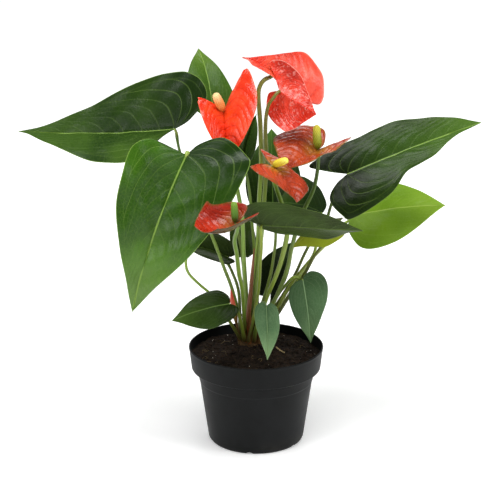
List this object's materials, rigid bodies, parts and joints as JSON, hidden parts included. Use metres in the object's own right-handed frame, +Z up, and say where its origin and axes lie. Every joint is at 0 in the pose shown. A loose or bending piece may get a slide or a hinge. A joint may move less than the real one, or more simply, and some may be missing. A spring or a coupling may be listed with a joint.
{
  "type": "potted flowering plant",
  "caption": "Potted anthurium with heart-shaped glossy leaves and orange-red flowers in a black plastic nursery pot.",
  "frame": {"origin": "centre of the flat underside of the pot", "axes": "+Z up along the pot's axis, -Y towards the front of the plant, +X to the right as seen from the front, along the longest spread of the leaves"},
  "size_m": [0.473, 0.2613, 0.4027],
  "materials": {
    "pot": "black moulded polypropylene, satin",
    "soil": "dark peat potting mix, rough",
    "crown": "brown fibrous stem base with dry sheaths",
    "leaf": "dark green, glossy",
    "leaf_young": "light green, satin",
    "petiole": "green, satin",
    "spathe": "orange red, waxy gloss",
    "peduncle": "yellow green, satin",
    "spadix": "orange to yellow green, finely bumped",
    "bud": "rolled young flower, satin red",
    "spear": "rolled young leaf, bronze"
  },
  "bodies": {
    "root": {"pot": "pot", "soil": "soil", "crown": "crown", "leaf_01": "leaf", "leaf_02": "leaf", "leaf_03": "leaf", "leaf_04": "leaf_young", "leaf_05": "leaf", "leaf_06": "leaf", "leaf_07": "leaf", "leaf_08": "leaf", "leaf_09": "leaf", "leaf_10": "leaf_young", "leaf_11": "leaf", "leaf_12": "leaf_young", "leaf_13": "leaf_young", "leaf_14": "leaf", "leaf_15": "leaf", "leaf_16": "leaf", "petiole_01": "petiole", "petiole_02": "petiole", "petiole_03": "petiole", "petiole_04": "petiole", "petiole_05": "petiole", "petiole_06": "petiole", "petiole_07": "petiole", "petiole_08": "petiole", "petiole_09": "petiole", "petiole_10": "petiole", "petiole_11": "petiole", "petiole_12": "petiole", "petiole_13": "petiole", "petiole_14": "petiole", "petiole_15": "petiole", "petiole_16": "petiole", "spathe_1": "spathe", "spathe_2": "spathe", "spathe_3": "spathe", "spathe_4": "spathe", "spathe_5": "spathe", "spathe_6": "spathe", "peduncle_1": "peduncle", "peduncle_2": "peduncle", "peduncle_3": "peduncle", "peduncle_4": "peduncle", "peduncle_5": "peduncle", "peduncle_6": "peduncle", "spadix_1": "spadix", "spadix_2": "spadix", "spadix_3": "spadix", "spadix_4": "spadix", "spadix_5": "spadix", "spadix_6": "spadix", "flower_bud": "bud", "leaf_spear": "spear"}
  },
  "joints": []
}
